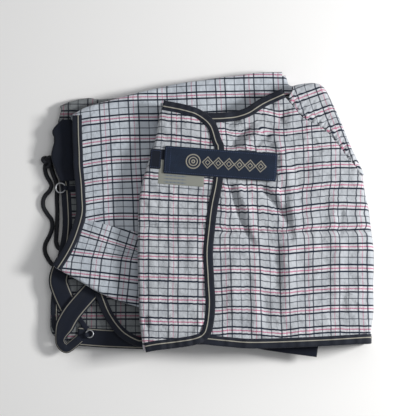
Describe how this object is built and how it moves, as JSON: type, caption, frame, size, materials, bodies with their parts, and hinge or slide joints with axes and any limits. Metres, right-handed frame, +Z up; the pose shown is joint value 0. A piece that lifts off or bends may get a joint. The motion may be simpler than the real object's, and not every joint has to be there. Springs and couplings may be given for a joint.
{
  "type": "horse fly sheet",
  "caption": "Checked mesh fly sheet for a horse, folded into a flat pile with its chest flap, closure strap, leg straps and tail cord showing.",
  "frame": {"origin": "centre of the folded pile's footprint, on the surface it rests on", "axes": "+X towards the shoulder fold, +Y towards the spine fold, +Z up"},
  "size_m": [0.599, 0.5178, 0.0779],
  "materials": {
    "plaid_mesh": "fine woven mesh in a pale checked pattern with navy and pink lines",
    "plaid_shade": "the same checked mesh where it lies folded underneath",
    "navy_binding": "woven tape with a pale piping line",
    "navy_webbing": "ribbed webbing with a pale line near each edge",
    "strap_cloth": "dense woven strap with stitched edges",
    "badge_weave": "raised pale embroidery",
    "label_cloth": "smooth satin label",
    "touch_tape": "black hook and loop pile",
    "cord": "black braided cord",
    "ring_metal": "nickel-plated wire, slightly dulled"
  },
  "bodies": {
    "folded_body": {"left_side_panel": "plaid_shade", "right_side_panel": "plaid_mesh", "tail_flap": "navy_binding", "left_side_binding": "navy_binding", "right_side_binding": "navy_binding", "belly_strap": "navy_webbing", "leg_strap_left": "navy_webbing", "leg_strap_right": "navy_webbing", "strap_ring_tab": "navy_webbing", "strap_ring_tape": "navy_webbing", "tail_ring_tab": "navy_webbing", "tail_cord_inner": "cord", "tail_cord_outer": "cord", "tail_cord_knot": "cord"},
    "front_section": {"left_shoulder_panel": "plaid_shade", "right_chest_panel": "plaid_mesh", "right_shoulder_gusset": "plaid_mesh", "right_neck_binding": "navy_binding", "right_hem_binding": "navy_binding", "loop_tape": "touch_tape"},
    "chest_flap": {"left_chest_panel": "plaid_mesh", "left_front_binding": "navy_binding", "strap_base": "navy_webbing", "care_label": "label_cloth"},
    "strap": {"closure_strap": "strap_cloth", "hook_tape": "touch_tape", "strap_badge": "badge_weave"},
    "leg_ring": {"strap_ring": "ring_metal"},
    "cord_ring": {"tail_ring": "ring_metal"}
  },
  "joints": [
    {"name": "front_fold", "type": "hinge", "parent": "folded_body", "child": "front_section", "pos_m": [0.293, 0, 0.04015], "axis": [0, 1, 0], "range_deg": [0, 180]},
    {"name": "chest_flap_open", "type": "hinge", "parent": "front_section", "child": "chest_flap", "pos_m": [-0.126, 0, 0.06785], "axis": [0, -1, 0], "range_deg": [0, 110]},
    {"name": "strap_peel", "type": "hinge", "parent": "chest_flap", "child": "strap", "pos_m": [-0.0805, 0.094, 0.07415], "axis": [-0.075, -0.9972, 0], "range_deg": [0, 90]},
    {"name": "leg_ring_swing", "type": "hinge", "parent": "folded_body", "child": "leg_ring", "pos_m": [-0.22098, -0.21854, 0.02302], "axis": [0.3907, -0.9205, 0], "range_deg": [0, 100]},
    {"name": "tail_ring_swing", "type": "hinge", "parent": "folded_body", "child": "cord_ring", "pos_m": [-0.2602, 0.048, 0.02234], "axis": [0, 1, 0], "range_deg": [0, 100]}
  ]
}
